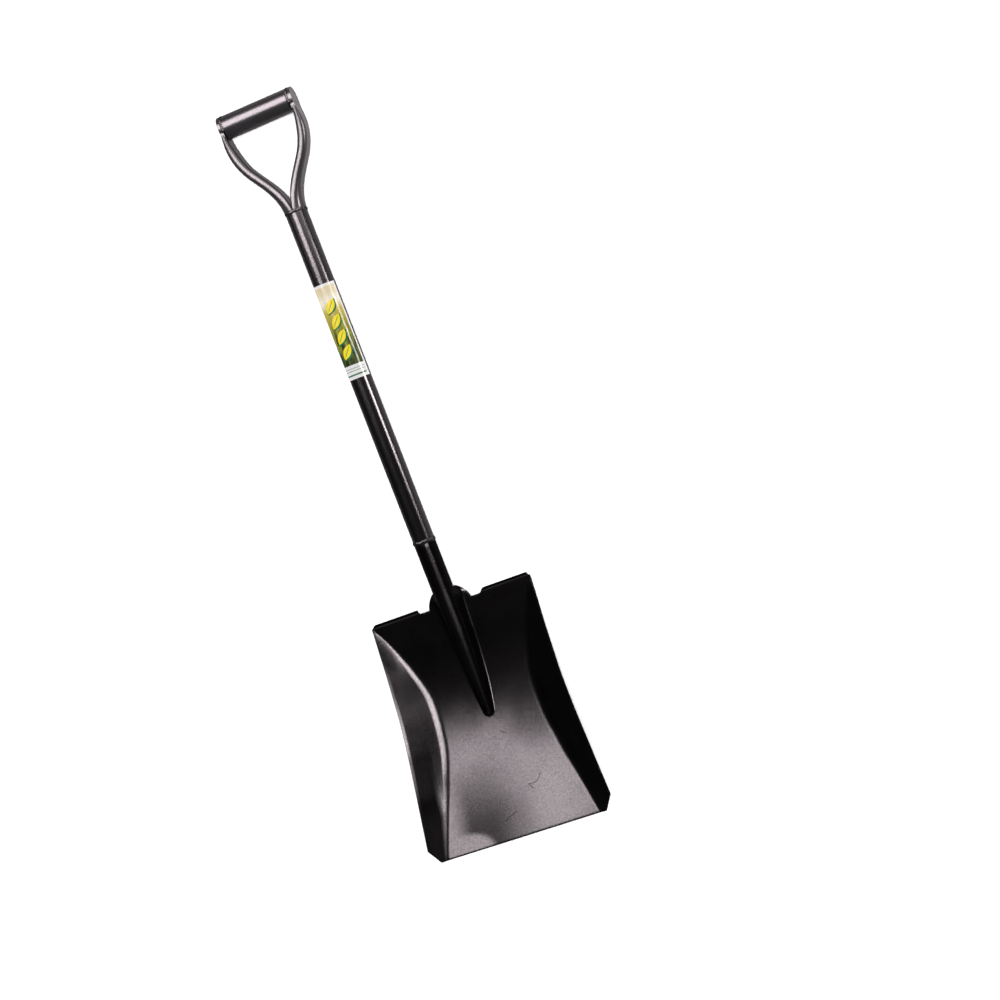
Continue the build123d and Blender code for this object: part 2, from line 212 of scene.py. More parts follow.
class Ridge:
    """Section of the centre ridge at one y: crest arc, straight flank, foot fillet, floor."""

    def __init__(self, y):
        along = SOCKET_END_Y - y
        self.crest = HEEL_Z + read_table(RIDGE, along, 1)
        self.radius = read_table(RIDGE, along, 2)
        self.angle = math.radians(read_table(RIDGE, along, 3))
        self.foot = read_table(RIDGE, along, 4)
        self.floor = floor_z(y)
        fall = self.crest - self.floor
        turned = (self.radius + self.foot) * (1 - math.cos(self.angle))
        self.flank = max((fall - turned) / math.sin(self.angle), 0.0)
        self.lengths = (self.radius * self.angle, self.flank, self.foot * self.angle)

    def at(self, length):
        """(x, z) at an arc length from the crest."""
        crest_length, flank_length, foot_length = self.lengths
        turn = min(length, crest_length) / self.radius
        x = self.radius * math.sin(turn)
        z = self.crest - self.radius * (1 - math.cos(turn))
        if length <= crest_length:
            return x, z
        run = min(length - crest_length, flank_length)
        x += run * math.cos(self.angle)
        z -= run * math.sin(self.angle)
        if length <= crest_length + flank_length:
            return x, z
        run = min(length - crest_length - flank_length, foot_length)
        left = self.angle - run / self.foot
        x += self.foot * (math.sin(self.angle) - math.sin(left))
        z -= self.foot * (math.cos(left) - math.cos(self.angle))
        return x + max(length - sum(self.lengths), 0.0), z

    def foot_end(self):
        return self.at(sum(self.lengths))[0]

    def length_at(self, feature, t):
        """Arc length at a place in the crest, the flank or the foot."""
        crest_length, flank_length, foot_length = self.lengths
        if feature == "crest":
            return t * crest_length
        if feature == "flank":
            return crest_length + t * flank_length
        return crest_length + flank_length + t * foot_length

    def height(self, reach):
        """Height of the crest's cap at a level distance from its centre, and on down the flank."""
        edge = self.radius * math.sin(self.angle)
        if reach <= edge:
            return self.crest - self.radius + math.sqrt(self.radius**2 - reach**2)
        side = self.crest - self.radius * (1 - math.cos(self.angle))
        return side - (reach - edge) * math.tan(self.angle)


def pan_section(y):
    """Rim half width, where the fold starts, fold radius, wall angle and wall length."""
    along = TREAD_Y - y
    half = read_table(PAN, along, 1)
    run = read_table(PAN, along, 2)
    radius = read_table(PAN, along, 3)
    rise = max(rim_z(y) - floor_z(y), MIN_WALL_RISE)
    angle = math.atan2(rise, run)
    tangent = radius * math.tan(angle / 2)
    return half, half - run - tangent, radius, angle, math.hypot(rise, run)


# Columns of the sheet, from the crest to the rim: a feature and a place in it
FLOOR_STOPS = (25.0, EAR_ROOT_X, 33.0, 37.0, LIP_START_X, 42.5, 44.0, LIP_FULL_X)
FLOOR_STEPS = 16
nose = Ridge(NOSE_Y)
tread_ridge = Ridge(TREAD_Y)
tread_foot = tread_ridge.foot_end()
tread_fold = pan_section(TREAD_Y)[1]
floor_xs = list(FLOOR_STOPS)
floor_xs += [
    LIP_FULL_X + (LIP_CHAMFER_X - LIP_FULL_X) * i / FLOOR_STEPS for i in range(1, FLOOR_STEPS + 1)
]


def spread(feature, count, start=1):
    """Evenly spaced columns of one feature."""
    return [(feature, i / count) for i in range(start, count + 1)]


columns = spread("crest", 14, 0) + spread("flank", 7) + spread("foot", 9)
ear_column = len(columns) + FLOOR_STOPS.index(EAR_ROOT_X)
columns += [("floor", (x - tread_foot) / (tread_fold - tread_foot)) for x in floor_xs]
columns += [("floor", 1.0)] + spread("fold", 12) + spread("wall", 9)


def pan_point(column, y):
    """(x, z) of a column of the pan at y."""
    feature, t = columns[column]
    ridge = Ridge(max(y, NOSE_Y))
    if feature in ("crest", "flank", "foot"):
        x, z = ridge.at(ridge.length_at(feature, t))
    else:
        x, z = None, floor_z(y)
    half, fold_x, radius, angle, wall = pan_section(y)
    if feature == "floor":
        x = ridge.foot_end() + t * (fold_x - ridge.foot_end())
    elif feature == "fold":
        x = fold_x + radius * math.sin(t * angle)
        z += radius * (1 - math.cos(t * angle))
    elif feature == "wall":
        tangent = radius * math.tan(angle / 2)
        x = fold_x + tangent + (tangent + t * (wall - tangent)) * math.cos(angle)
        z += (tangent + t * (wall - tangent)) * math.sin(angle)
    if y < NOSE_Y + NOSE_BLEND and abs(x) < 3 * nose.foot_end():
        reach = math.hypot(x, min(y - NOSE_Y, 0.0))
        rounded = smooth_max(ridge.height(reach), floor_z(y), NOSE_FOOT)
        share = smooth_step(NOSE_Y + NOSE_BLEND, NOSE_Y, y)
        z += (rounded - z) * share
    return x, z


def cut_y(column):
    """Where a column ends: at the mouth, or on the cut front corner."""
    if pan_point(column, FACE_END_Y)[0] <= CLIP_MOUTH_X:
        return FACE_END_Y

    def is_cut(y):
        x = pan_point(column, y)[0]
        return y < MOUTH_Y + (x - CLIP_MOUTH_X) * CLIP_LENGTH / (CLIP_RIM_X - CLIP_MOUTH_X)

    return last_place(FACE_END_Y, MOUTH_Y + 1.5 * CLIP_LENGTH, 30, is_cut)


def dent(x, y):
    """Slight unevenness of the pressed sheet, none beside the ridge or at the sheet's ends."""
    at = Vector((x / 62.0, y / 74.0, 0.31))
    swell = noise.noise(at) * 0.42 + noise.noise(at * 2.3) * 0.12
    beside_ridge = 1 - smooth_step(14.0, 34.0, abs(x))
    clear = 1 - beside_ridge * smooth_step(NOSE_Y - 50, NOSE_Y - NOSE_BELOW, y)
    edge = smooth_step(MOUTH_Y, MOUTH_Y + 30, y) * smooth_step(TREAD_Y, TREAD_Y - 40, y)
    return swell * clear * edge


def pan_rows():
    """y of the pan's rows from tread to mouth, close together round the nose."""
    rows, y = [], TREAD_Y
    while y > MOUTH_Y + 0.01:
        rows.append(y)
        step = ROW_STEP
        if NOSE_Y - NOSE_BELOW < y < NOSE_Y + NOSE_ABOVE:
            step = NOSE_STEP
        elif NOSE_Y + NOSE_ABOVE <= y < NOSE_Y + NOSE_ABOVE + ROW_STEP:
            step = min(ROW_STEP, y - NOSE_Y - NOSE_ABOVE + NOSE_STEP)
        y -= step
    if rows[-1] - MOUTH_Y < 1.0:
        rows.pop()
    return rows + [MOUTH_Y]


def tread_length(column):
    """Arc length from the crest to a column of the tread's section."""
    feature, t = columns[column]
    if feature == "floor":
        x = tread_foot + t * (tread_fold - tread_foot)
        return sum(tread_ridge.lengths) + x - tread_foot
    return tread_ridge.length_at(feature, t)


def free_length(y):
    """Arc length from the crest to the free edge of an ear or of the rolled socket."""
    if y <= SOCKET_END_Y:
        ridge = Ridge(y)
        free_x = read_table(EARS, SOCKET_END_Y - y, 1)
        return last_place(0.0, 60.0, 40, lambda length: ridge.at(length)[0] < free_x - 1e-6)
    closed = math.pi * TUBE_R - SEAM_GAP / 2
    opening = smooth_step(SEAM_END_Y, SOCKET_END_Y, y)
    return closed + (math.pi / 2 * TUBE_R - closed) * opening


def rolled_point(length, y):
    """(x, z) at an arc length from the crest, on an ear or on the socket above it."""
    if y <= SOCKET_END_Y:
        return Ridge(y).at(length)
    turn = length / TUBE_R
    return TUBE_R * math.sin(turn), AXIS_Z + TUBE_R * math.cos(turn)


def lip_turn(x):
    """How far a tread lip bends down at x: a quarter turn but for its two ends."""
    reach = LIP_RADIUS
    if x < LIP_FULL_X:
        reach = LIP_RADIUS * max(x - LIP_START_X, 0.0) / (LIP_FULL_X - LIP_START_X)
    if x > LIP_CHAMFER_X:
        reach = LIP_RADIUS - (x - LIP_CHAMFER_X)
    return math.asin(min(max(reach / LIP_RADIUS, 0.02), 1.0))


def build_blade():
    """Pan, lips, ears, ridge and socket as one sheet, modelled on its face and given thickness."""
    mesh = bmesh.new()
    count = len(columns)
    sides = ((0, 1), (1, -1))

    def row_of_vertices(points):
        """Vertices of a whole row, mirrored; points are (x, y, z) from the centre outwards."""
        right = [mesh.verts.new(Vector(p) * MM) for p in points]
        left = [right[0]] + [mesh.verts.new(Vector((-x, y, z)) * MM) for x, y, z in points[1:]]
        return right, left

    def skin(upper, lower, last):
        """Faces between two rows on both sides, out to the last column."""
        for side, order in sides:
            a, b = upper[side], lower[side]
            for k in range(last):
                mesh.faces.new([a[k], b[k], b[k + 1], a[k + 1]][::order])

    # Pan
    ends = [cut_y(c) for c in range(count)]
    rows = []
    for y in pan_rows():
        toward = smooth_step(MOUTH_Y + 70, MOUTH_Y, y)
        points = []
        for c in range(count):
            at = y + (ends[c] - MOUTH_Y) * toward
            x, z = pan_point(c, at)
            points.append((x, at, z + dent(x, at)))
        rows.append(row_of_vertices(points))
    for upper, lower in zip(rows, rows[1:]):
        skin(upper, lower, count - 1)

    # Ears and socket, rolled from the same sheet
    tread_lengths = [tread_length(c) for c in range(ear_column + 1)]
    above = rows[0]
    y = TREAD_Y
    while y < SOCKET_Y - 0.01:
        y = min(y + (EAR_STEP if y < SEAM_END_Y + 2 else SOCKET_STEP), SOCKET_Y)
        reach = free_length(y)
        points = []
        for length in tread_lengths:
            x, z = rolled_point(length * reach / tread_lengths[-1], y)
            points.append((x, y, z))
        fresh = row_of_vertices(points)
        skin(fresh, above, ear_column)
        above = fresh

    # Tread lips
    tread = [pan_point(c, TREAD_Y) for c in range(count)]
    beyond_ear = range(ear_column + 1, count)
    lip_first = next(c for c in beyond_ear if tread[c][0] > LIP_START_X - 0.1)
    lip_last = max(c for c in range(count) if tread[c][0] < LIP_END_X + 0.05)
    bend_steps, drop_steps = 7, 2
    for side, order in sides:
        previous = rows[0][side]
        for step in range(1, bend_steps + drop_steps + 1):
            fresh = {}
            for c in range(lip_first, lip_last + 1):
                x, z = tread[c]
                whole = lip_turn(x)
                turn = whole * min(step / bend_steps, 1.0)
                drop = LIP_DROP * max(step - bend_steps, 0) / drop_steps * (whole > FULL_BEND)
                place = (
                    order * x,
                    TREAD_Y + LIP_RADIUS * math.sin(turn),
                    z - LIP_RADIUS * (1 - math.cos(turn)) - drop,
                )
                fresh[c] = mesh.verts.new(Vector(place) * MM)
            for c in range(lip_first, lip_last):
                mesh.faces.new([previous[c], previous[c + 1], fresh[c + 1], fresh[c]][::order])
            previous = fresh
    bmesh.ops.remove_doubles(mesh, verts=mesh.verts, dist=0.00002)
    bmesh.ops.dissolve_degenerate(mesh, edges=mesh.edges, dist=0.000005)
    bmesh.ops.recalc_face_normals(mesh, faces=mesh.faces)
    up = sum(f.normal.z * f.calc_area() for f in mesh.faces)
    if up < 0:
        bmesh.ops.reverse_faces(mesh, faces=mesh.faces)
    return finish_mesh(mesh, "blade_sheet")


def finish_mesh(mesh, name):
    """Makes a smooth-shaded object from a bmesh."""
    data = bpy.data.meshes.new(name)
    mesh.to_mesh(data)
    mesh.free()
    piece = bpy.data.objects.new(name, data)
    bpy.context.scene.collection.objects.link(piece)
    for polygon in data.polygons:
        polygon.use_smooth = True
    return piece


def apply_modifiers(piece):
    """Leaves the evaluated mesh on the piece, with no modifier."""
    graph = bpy.context.evaluated_depsgraph_get()
    graph.update()
    final = bpy.data.meshes.new_from_object(piece.evaluated_get(graph))
    piece.modifiers.clear()
    piece.data = final
    return piece


blade = build_blade()
solid = blade.modifiers.new("sheet", "SOLIDIFY")
solid.thickness = SHEET * MM
solid.offset = -1
solid.use_even_offset = True
rounding = blade.modifiers.new("edge", "BEVEL")
rounding.width = EDGE_ROUNDING * MM
rounding.segments = 2
rounding.limit_method = "ANGLE"
rounding.angle_limit = math.radians(55)
rounding.use_clamp_overlap = True
apply_modifiers(blade)


# ---------------------------------------------------------------- welds

def bead_section(lap, t, height, pitch, spot):
    """(sideways, outwards) of a bead's skin at t from -1 to 1 across it, a run of lap along it."""
    swell = 1 + 0.28 * noise.noise(spot * 0.19) + 0.12 * noise.noise(spot * 0.8)
    wander = 0.45 * noise.noise(spot * 0.11 + Vector((7.0, 3.0, 1.0)))
    phase = (lap + 0.9 * t * t) / pitch + 0.35 * noise.noise(spot * 0.3)
    scale = 1 - (phase - math.floor(phase)) ** 1.6
    crown = math.sqrt(max(1 - t * t, 0.0))
    lift = min(height * (0.45 + 0.55 * scale) * swell, height) * crown - WELD_SINK * (1 - crown)
    return wander + t * swell, lift


def skin_bead(mesh, pairs, rows):
    """Faces between neighbouring closed sections of a bead."""
    around = rows + ROOT_STEPS
    for a, b in pairs:
        for j in range(around):
            k = (j + 1) % around
            mesh.faces.new((a[j], a[k], b[k], b[j]))


def ring_weld(name, middle, across_x, radius, width, height, pitch, spots=()):
    """Lumpy bead round a tube that runs along Y, or along X when across_x is set."""
    mesh = bmesh.new()
    steps, rows = 320, 12
    loops = []
    for i in range(steps):
        turn = 2 * math.pi * i / steps
        spot = Vector((radius * math.sin(turn), middle.x + middle.y, radius * math.cos(turn)))
        loop = []
        for j in range(rows + ROOT_STEPS):
            t = -1 + 2 * min(j, rows) / rows
            aside, lift = bead_section(turn * radius, t, height, pitch, spot)
            reach = radius + lift
            if j > rows:
                reach = radius - WELD_ROOT
                aside = (1, -1)[j - rows - 1] * (width - 0.4) / width
            aside *= width
            ring = (reach * math.sin(turn), reach * math.cos(turn))
            place = (aside, ring[0], ring[1]) if across_x else (ring[0], aside, ring[1])
            loop.append(mesh.verts.new((middle + Vector(place)) * MM))
        loops.append(loop)
    skin_bead(mesh, zip(loops, loops[1:] + loops[:1]), rows)
    for turn, aside, size in spots:
        reach = radius - 0.15 * size
        place = Vector((reach * math.sin(turn), aside, reach * math.cos(turn)))
        ball = bmesh.ops.create_icosphere(mesh, subdivisions=2, radius=size * MM)
        bmesh.ops.translate(mesh, verts=ball["verts"], vec=(middle + place) * MM)
    bmesh.ops.recalc_face_normals(mesh, faces=mesh.faces)
    return finish_mesh(mesh, name)


def seam_weld(name, start, end, radius, width, height, pitch):
    """Lumpy bead along the back of the socket, from one y to another."""
    mesh = bmesh.new()
    steps, rows = 130, 10
    loops = []
    for i in range(steps + 1):
        y = start + (end - start) * i / steps
        fade = min(1.0, 6.0 * i / steps, 6.0 * (steps - i) / steps)
        loop = []
        for j in range(rows + ROOT_STEPS):
            t = -1 + 2 * min(j, rows) / rows
            aside, lift = bead_section(y, t, height, pitch, Vector((0.0, y, 0.0)))
            reach = radius + lift * fade - WELD_SINK * (1 - fade)
            if j > rows:
                reach, aside = radius - WELD_ROOT, (1, -1)[j - rows - 1] * 0.8
            turn = aside * width / radius
            place = Vector((reach * math.sin(turn), y, AXIS_Z - reach * math.cos(turn)))
            loop.append(mesh.verts.new(place * MM))
        loops.append(loop)
    skin_bead(mesh, zip(loops, loops[1:]), rows)
    for loop in (loops[0], loops[-1]):
        mesh.faces.new(loop)
    bmesh.ops.recalc_face_normals(mesh, faces=mesh.faces)
    return finish_mesh(mesh, name)


def box_middle(node):
    low, high = box_mm(node)
    return (low + high) / 2


# Spatter beside the socket's bead: turn round the tube, distance along it, radius
SPATTER = (
    (0.40, -5.2, 0.55),
    (0.9, -7.4, 0.4),
    (-0.5, -4.6, 0.45),
    (2.3, 5.8, 0.5),
    (-1.9, -6.0, 0.5),
)
seam_low, seam_high = box_mm("socket_seam_weld")
beads = {
    "socket_weld": ring_weld(
        "socket_bead", box_middle("socket_weld"), False, TUBE_R, 2.9, 1.1, 2.6, SPATTER
    ),
    "yoke_weld": ring_weld("yoke_bead", box_middle("yoke_weld"), False, TUBE_R, 2.7, 1.0, 2.4),
    "socket_seam_weld": seam_weld("seam_bead", seam_low.y, seam_high.y, TUBE_R, 2.5, 0.9, 2.5),
}
for side in ("left", "right"):
    node = "grip_weld_" + side
    beads[node] = ring_weld("grip_bead_" + side, box_middle(node), True, GRIP_R, 2.2, 0.58, 2.3)


# ---------------------------------------------------------------- materials

class Material:
    """A Principled material with helpers for wiring its nodes."""

    def __init__(self, name):
        self.material = bpy.data.materials.new(name)
        self.material.use_nodes = True
        self.tree = self.material.node_tree
        self.shader = self.tree.nodes["Principled BSDF"]
        self.place = self.node("ShaderNodeTexCoord").outputs["Object"]

    def node(self, kind, **settings):
        made = self.tree.nodes.new(kind)
        for key, value in settings.items():
            setattr(made, key, value)
        return made

    def link(self, source, target):
        self.tree.links.new(source, target)

    def set(self, **values):
        for key, value in values.items():
            self.shader.inputs[key.replace("_", " ")].default_value = value

    def split(self, vector):
        """The three outputs of a vector."""
        made = self.node("ShaderNodeSeparateXYZ")
        self.link(vector, made.inputs["Vector"])
        return made.outputs

    def noise(self, scale, detail=3.0, roughness=0.55, stretch=(1, 1, 1)):
        mapping = self.node("ShaderNodeMapping")
        mapping.inputs["Scale"].default_value = stretch
        self.link(self.place, mapping.inputs["Vector"])
        made = self.node("ShaderNodeTexNoise")
        made.inputs["Scale"].default_value = scale
        made.inputs["Detail"].default_value = detail
        made.inputs["Roughness"].default_value = roughness
        self.link(mapping.outputs["Vector"], made.inputs["Vector"])
        return made.outputs["Fac"]

    def span(self, value, low, high, to_low=0.0, to_high=1.0):
        """A value's place between low and high, in proportion."""
        made = self.node("ShaderNodeMapRange")
        made.inputs["From Min"].default_value = low
        made.inputs["From Max"].default_value = high
        made.inputs["To Min"].default_value = to_low
        made.inputs["To Max"].default_value = to_high
        self.link(value, made.inputs["Value"])
        return made.outputs["Result"]

    def math(self, operation, a, b=None, c=None):
        made = self.node("ShaderNodeMath", operation=operation)
        for index, value in enumerate((a, b, c)):
            if value is None:
                continue
            if isinstance(value, (int, float)):
                made.inputs[index].default_value = value
            else:
                self.link(value, made.inputs[index])
        return made.outputs["Value"]

    def times(self, a, b):
        return self.math("MULTIPLY", a, b)

    def minus(self, a, b):
        return self.math("SUBTRACT", a, b)

    def mix(self, share, a, b):
        """Colour a where share is 0, b where it is 1."""
        made = self.node("ShaderNodeMix", data_type="RGBA")
        for socket, value in (("A_Color", a), ("B_Color", b)):
            target = next(s for s in made.inputs if s.identifier == socket)
            if isinstance(value, tuple):
                target.default_value = (*value, 1.0)
            else:
                self.link(value, target)
        self.link(share, next(s for s in made.inputs if s.identifier == "Factor_Float"))
        return next(s for s in made.outputs if s.identifier == "Result_Color")

    def rise(self, value, low, high, top=1.0):
        """0 below low, top above high, level at both ends."""
        result = self.span(value, low, high, 0.0, top)
        result.node.interpolation_type = "SMOOTHSTEP"
        return result

    def fall(self, value, low, high):
        """1 below low, 0 above high, level at both ends."""
        result = self.span(value, low, high, 1.0, 0.0)
        result.node.interpolation_type = "SMOOTHSTEP"
        return result

    def vector(self, operation, a, b=None, scale=None):
        made = self.node("ShaderNodeVectorMath", operation=operation)
        for index, value in enumerate((a, b)):
            if value is None:
                continue
            if isinstance(value, (tuple, Vector)):
                made.inputs[index].default_value = tuple(value)
            else:
                self.link(value, made.inputs[index])
        if scale is not None:
            self.link(scale, made.inputs["Scale"])
        return made.outputs["Value" if operation in ("LENGTH", "DOT_PRODUCT") else "Vector"]

    def patch(self, x, y, width, length, turn=0.0, inner=0.3):
        """1 inside an ellipse on the sheet (metres), falling smoothly to 0 at its edge."""
        mapping = self.node("ShaderNodeMapping", vector_type="TEXTURE")
        mapping.inputs["Location"].default_value = (x, y, 0.0)
        mapping.inputs["Rotation"].default_value = (0.0, 0.0, turn)
        mapping.inputs["Scale"].default_value = (width, length, 1000.0)
        self.link(self.place, mapping.inputs["Vector"])
        reach = self.vector("LENGTH", mapping.outputs["Vector"])
        return self.fall(reach, inner, 1.0)

    def scratch(self, points, width):
        """1 on a broken line through points on the sheet (metres), 0 off it."""
        flat = self.vector("MULTIPLY", self.place, (1.0, 1.0, 0.0))
        nearest = None
        for start, end in zip(points, points[1:]):
            a = Vector((*start, 0.0))
            run = Vector((*end, 0.0)) - a
            off = self.vector("SUBTRACT", flat, a)
            share = self.vector("DOT_PRODUCT", off, run / run.length_squared)
            share = self.math("MINIMUM", self.math("MAXIMUM", share, 0.0), 1.0)
            foot = self.vector("SCALE", run, scale=share)
            reach = self.vector("LENGTH", self.vector("SUBTRACT", off, foot))
            nearest = reach if nearest is None else self.math("MINIMUM", nearest, reach)
        return self.fall(nearest, 0.3 * width, width)

    def bump(self, height, distance, strength=1.0, before=None):
        made = self.node("ShaderNodeBump")
        made.inputs["Strength"].default_value = strength
        made.inputs["Distance"].default_value = distance
        self.link(height, made.inputs["Height"])
        if before is not None:
            self.link(before, made.inputs["Normal"])
        return made.outputs["Normal"]


# Heights of the paint's bumps, in metres
PEEL_HEIGHT = 0.00006
GRAIN_HEIGHT = 0.00008


def paint(name, base, lighter, roughness, gloss, grain):
    """Semi-gloss paint: faint mottling under a coat with fine grain and orange peel."""
    m = Material(name)
    mottle = m.noise(38.0, 4.0, 0.6)
    speckle = m.noise(520.0, 3.0, 0.7)
    m.colour = m.mix(m.span(mottle, 0.35, 0.7), base, lighter)
    uneven = m.span(m.noise(22.0, 5.0, 0.6), 0.3, 0.7, 0.5, 0.6)
    m.link(uneven, m.shader.inputs["Roughness"])
    m.set(Metallic=0.0, Specular_IOR_Level=0.0, Coat_Roughness=roughness)
    m.gloss = m.span(speckle, 0.3, 0.7, gloss * (1 - grain), gloss * (1 + grain))
    peel = m.bump(m.noise(150.0, 2.0, 0.5), PEEL_HEIGHT, 0.15)
    fine = m.bump(speckle, GRAIN_HEIGHT, 1.0, peel)
    m.link(fine, m.shader.inputs["Normal"])
    m.link(fine, m.shader.inputs["Coat Normal"])
    return m


def wire(m):
    """Joins a paint's colour and gloss to its shader, after any marks were laid over them."""
    m.link(m.colour, m.shader.inputs["Base Color"])
    m.link(m.gloss, m.shader.inputs["Coat Weight"])
    return m


TUBE_BLACK = (0.003, 0.0028, 0.003)
TUBE_GREY = (0.005, 0.0046, 0.005)
# Painted light: the grip tube and its arms carry the shaft's black paint, coloured lighter here than on
# the shaft
GRIP_BLACK_PAINTED_LIGHT = (0.026, 0.0242, 0.026)
GRIP_GREY_PAINTED_LIGHT = (0.034, 0.0317, 0.034)
WELD_DARK = (0.006, 0.0056, 0.006)
WELD_LIGHT = (0.012, 0.011, 0.012)
BLADE_BLACK = (0.0016, 0.0014, 0.0015)
BLADE_GREY = (0.0026, 0.0023, 0.0025)
# Painted light: a lighter black for the side of the blade that faces down
BLADE_BACK_PAINTED_LIGHT = (0.012, 0.011, 0.012)
RUST = (0.12, 0.045, 0.02)

tube_paint = wire(paint("tube_paint", TUBE_BLACK, TUBE_GREY, 0.19, 0.95, 0.25))
grip_paint = wire(paint("grip_paint", GRIP_BLACK_PAINTED_LIGHT, GRIP_GREY_PAINTED_LIGHT, 0.26, 0.85, 0.25))
weld_paint = wire(paint("weld_paint", WELD_DARK, WELD_LIGHT, 0.24, 0.6, 0.2))

# Scratches on the blade, as broken lines in the sheet's plane, in metres
SCRATCH_WIDTH = 0.0007
SCRATCHES = (
    (
        (0.042, -0.4185),
        (0.0375, -0.4245),
        (0.0325, -0.427),
        (0.0245, -0.4265),
        (0.0275, -0.4315),
        (0.0305, -0.4335),
    ),
    ((-0.001, -0.4515), (-0.0065, -0.4545), (-0.0115, -0.4555), (-0.0165, -0.459)),
    ((0.0065, -0.3575), (0.0095, -0.3605), (0.0125, -0.3615)),
)


def worn_blade():
    """The blade's paint: gloss worn off in places, kept in others, scratched, a speck of rust; the side
    that faces down is given painted light, a lighter black with more gloss.
    """
    m = paint("blade_paint", BLADE_BLACK, BLADE_GREY, 0.20, 0.40, 0.40)
    tread = TREAD_Y * MM
    x, y, _ = m.split(m.place)

    # A scuffed band left of the middle, with a clean patch at its end by the mouth
    waver = m.span(m.noise(16.0, 1.0, 0.5), 0.3, 0.7, -0.004, 0.004)
    scuff_x = m.math("ADD", x, waver)
    scuff_y = m.math("ADD", y, waver)
    scuff = m.rise(scuff_x, -0.087, -0.057)
    scuff = m.times(scuff, m.fall(scuff_x, -0.035, 0.040))
    scuff = m.times(scuff, m.fall(scuff_y, tread - 0.275, tread - 0.165))
    clean = m.patch(-0.074, tread - 0.294, 0.042, 0.024, 0.0, 0.7)
    scuff = m.times(scuff, m.span(clean, 0.0, 1.0, 1.0, 0.0))
    dull = m.patch(0.052, tread - 0.158, 0.055, 0.062, 0.0, 0.2)

    # The rolled socket and the left wall, which dulls in two stages towards the mouth
    rolled = m.rise(y, SOCKET_END_Y * MM - 0.01, SOCKET_END_Y * MM)
    narrowing = m.span(y, tread - 0.285, tread - 0.245, 0.008, 0.0)
    widening = m.span(y, tread - 0.220, tread - 0.160, 0.0, -0.008)
    outside = m.math("ADD", x, m.math("ADD", narrowing, widening))
    outside = m.fall(outside, -0.098, -0.088)
    fading = m.times(outside, m.fall(y, tread - 0.172, tread - 0.142))
    faded = m.times(outside, m.fall(y, tread - 0.225, tread - 0.180))
    shoulder = m.patch(-0.1015, tread - 0.038, 0.0125, 0.034, 0.22, 0.3)

    # Surfaces that face the right, the tread lips, and what faces down, which is given painted light
    # below
    facing = m.split(m.node("ShaderNodeNewGeometry").outputs["Normal"])
    wall = m.rise(facing["X"], 0.44, 0.58)
    lips = m.rise(y, tread - 0.001, tread + 0.001)
    lips = m.times(lips, m.rise(m.math("ABSOLUTE", x), 0.036, 0.040))
    polished = m.patch(0.066, tread - 0.268, 0.058, 0.062, 0.0, 0.2)
    back = m.fall(facing["Z"], -0.2, 0.0)

    for worn, loss in (
        (scuff, 0.84),
        (dull, 0.45),
        (rolled, 0.5),
        (fading, 0.75),
        (faded, 0.96),
        (shoulder, 0.78),
        (wall, 0.6),
        (lips, 0.93),
    ):
        m.gloss = m.times(m.gloss, m.span(worn, 0.0, 1.0, 1.0, 1.0 - loss))
    # The side that faces down gets extra gloss here, part of its painted light
    for kept, gain in ((polished, 0.11), (back, 0.5)):
        m.gloss = m.math("MULTIPLY_ADD", kept, gain, m.gloss)
    # Painted light: the side that faces down is coloured a lighter black than the face
    m.colour = m.mix(back, m.colour, BLADE_BACK_PAINTED_LIGHT)
    for points in SCRATCHES:
        line = m.scratch(points, SCRATCH_WIDTH)
        m.gloss = m.times(m.gloss, m.span(line, 0.0, 1.0, 1.0, 0.25))
    rust = m.patch(0.006, SOCKET_Y * MM - 0.026, 0.0011, 0.0011, 0.0, 0.5)
    m.colour = m.mix(rust, m.colour, RUST)
    return wire(m)


# Colours of the label
SAND = (0.72, 0.62, 0.40)
CREAM = (0.86, 0.80, 0.66)
OCHRE = (0.52, 0.42, 0.08)
GRASS_DARK = (0.012, 0.030, 0.008)
GRASS_LIGHT = (0.30, 0.33, 0.035)
GRASS_FOOT = (0.020, 0.040, 0.010)
LEAF_SHADE = (0.010, 0.16, 0.055)
LEAF_YELLOW = (0.93, 0.73, 0.02)
LEAF_RIB = (0.05, 0.24, 0.05)
WHITE = (0.80, 0.77, 0.77)
PRINT_GREEN = (0.012, 0.15, 0.06)
CLEAR_FILM = (0.006, 0.0056, 0.006)

# Leaves of the label, in millimetres
LEAF_START = 19.0                   # from the label's upper end
LEAF_PITCH = 20.0
LEAF_END = 99.0
LEAF_SLOPE = math.radians(52)


